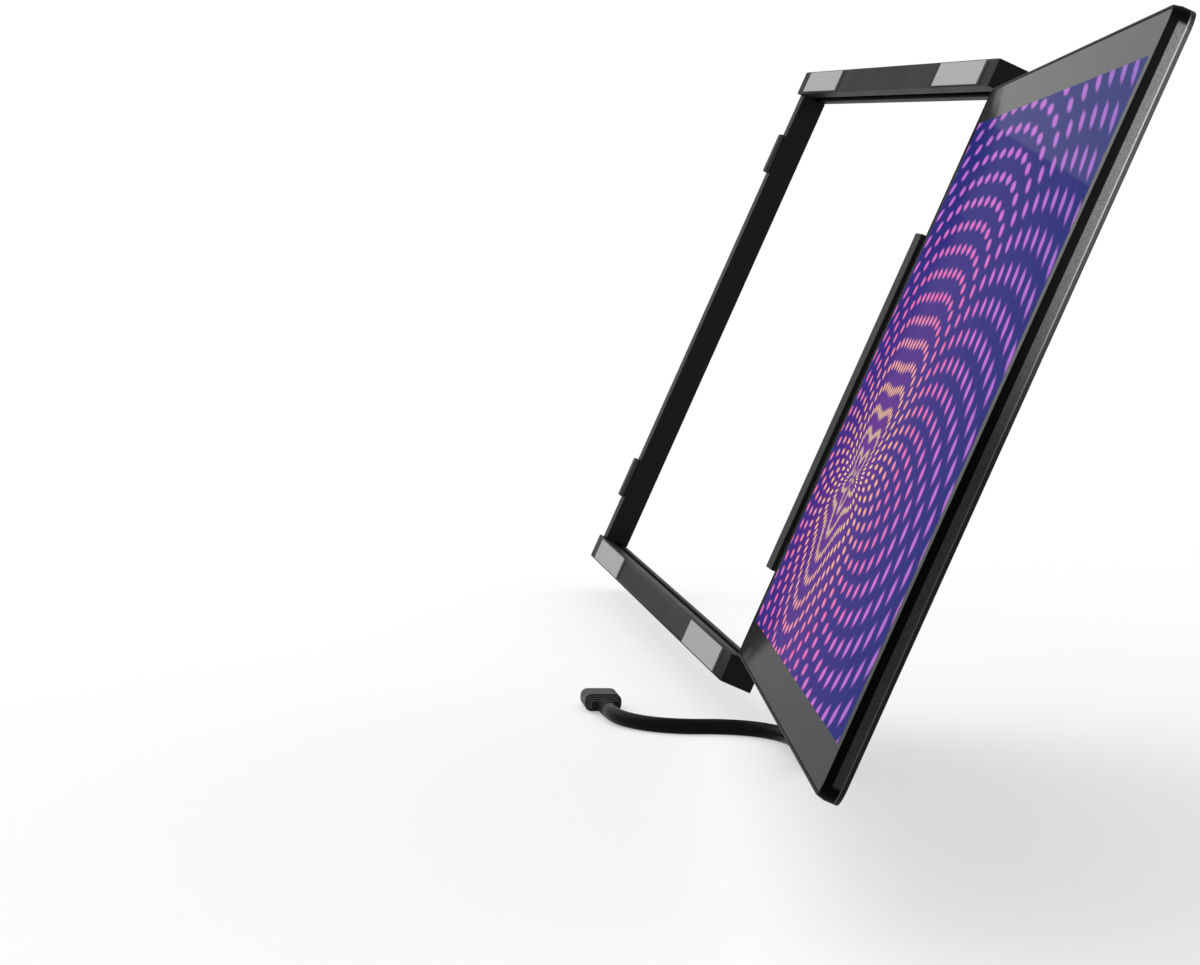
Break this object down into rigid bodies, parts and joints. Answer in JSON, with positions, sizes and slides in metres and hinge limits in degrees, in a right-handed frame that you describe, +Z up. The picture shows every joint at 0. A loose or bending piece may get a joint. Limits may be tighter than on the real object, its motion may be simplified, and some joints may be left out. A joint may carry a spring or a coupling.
{
  "type": "laptop screen extender",
  "caption": "Slim second screen that slides out of a frame on a notebook's lid, turns on a friction hinge and is fed by one short cable.",
  "frame": {"origin": "middle of the face that sits on the back of the notebook's lid", "axes": "+X along the slide, towards the side where the screen comes out, +Y away from the user, +Z up; the lid leans back 22.9 degrees"},
  "size_m": [0.6272, 0.13, 0.2121],
  "materials": {
    "case_black": "satin black anodised aluminium",
    "case_plastic": "fine matt black moulding",
    "rim_black": "fine bead-blasted black, soft sheen",
    "cover_black": "fine textured black moulding",
    "glass_black": "glossy cover glass over a black border and a lit picture",
    "steel": "brushed spring steel",
    "dark_steel": "blackened steel",
    "magnet_nickel": "nickel-plated magnets",
    "bush_bronze": "sintered bronze",
    "shoe_white": "slippery white plastic",
    "pad_grey": "wool felt",
    "rubber_black": "soft matt rubber",
    "panel_dark": "display cell",
    "film_white": "light-spreading films and guide",
    "tray_metal": "thin pressed tray",
    "board_green": "solder-masked board",
    "chip_black": "moulded chips",
    "ribbon_amber": "flexible printed cable",
    "button_black": "matt moulded buttons",
    "cable_black": "smooth black cable jacket",
    "plug_black": "moulded plug body"
  },
  "bodies": {
    "case": {"top_rail": "case_black", "bottom_rail": "case_black", "end_bar": "case_plastic", "rail_end_caps": "case_plastic", "rail_magnets": "magnet_nickel", "lid_plates": "steel", "lid_bumpers": "rubber_black", "end_bar_screws": "dark_steel"},
    "carriage": {"carriage_bar": "case_plastic", "upper_shoe": "shoe_white", "lower_shoe": "shoe_white", "friction_pads": "pad_grey", "carriage_hinge_leaves": "dark_steel", "carriage_leaf_screws": "dark_steel", "hinge_pins": "steel", "hinge_cover": "case_plastic"},
    "screen": {"back_cover": "cover_black", "back_cover_screws": "dark_steel", "board_chips": "chip_black", "board_screws": "dark_steel", "button_board": "board_green", "button_board_screws": "dark_steel", "button_ribbon": "ribbon_amber", "button_switches": "chip_black", "controller_board": "board_green", "cover_glass": "glass_black", "film_stack": "film_white", "friction_bushes": "bush_bronze", "lamp_strip": "film_white", "lcd_panel": "panel_dark", "light_guide": "film_white", "notebook_plug": "plug_black", "notebook_plug_mouth": "steel", "notebook_strain_relief": "rubber_black", "panel_ribbon": "ribbon_amber", "panel_tray": "tray_metal", "screen_hinge_leaves": "dark_steel", "screen_leaf_screws": "dark_steel", "screen_plug": "plug_black", "screen_plug_mouth": "steel", "screen_rim": "rim_black", "screen_strain_relief": "rubber_black", "signal_cable": "cable_black", "usb_c_sockets": "steel"},
    "power": {"power_button": "button_black"},
    "brightness_up": {"brightness_up_button": "button_black"},
    "brightness_down": {"brightness_down_button": "button_black"}
  },
  "joints": [
    {"name": "pull_out", "type": "slide", "parent": "case", "child": "carriage", "axis": [1, 0, 0], "range_m": [-0.288, 0], "deforming": ["signal_cable"]},
    {"name": "screen_turn", "type": "hinge", "parent": "carriage", "child": "screen", "pos_m": [0.161, 0.01216, -0.00514], "axis": [0, 0.3891, 0.9212], "range_deg": [-37.9, 187.1]},
    {"name": "power_push", "type": "slide", "parent": "screen", "child": "power", "axis": [-0.1236, -0.9141, 0.3861], "range_m": [0, 0.0005], "stiffness_N_per_m": 800},
    {"name": "brightness_up_push", "type": "slide", "parent": "screen", "child": "brightness_up", "axis": [-0.1236, -0.9141, 0.3861], "range_m": [0, 0.0005], "stiffness_N_per_m": 800},
    {"name": "brightness_down_push", "type": "slide", "parent": "screen", "child": "brightness_down", "axis": [-0.1236, -0.9141, 0.3861], "range_m": [0, 0.0005], "stiffness_N_per_m": 800}
  ]
}
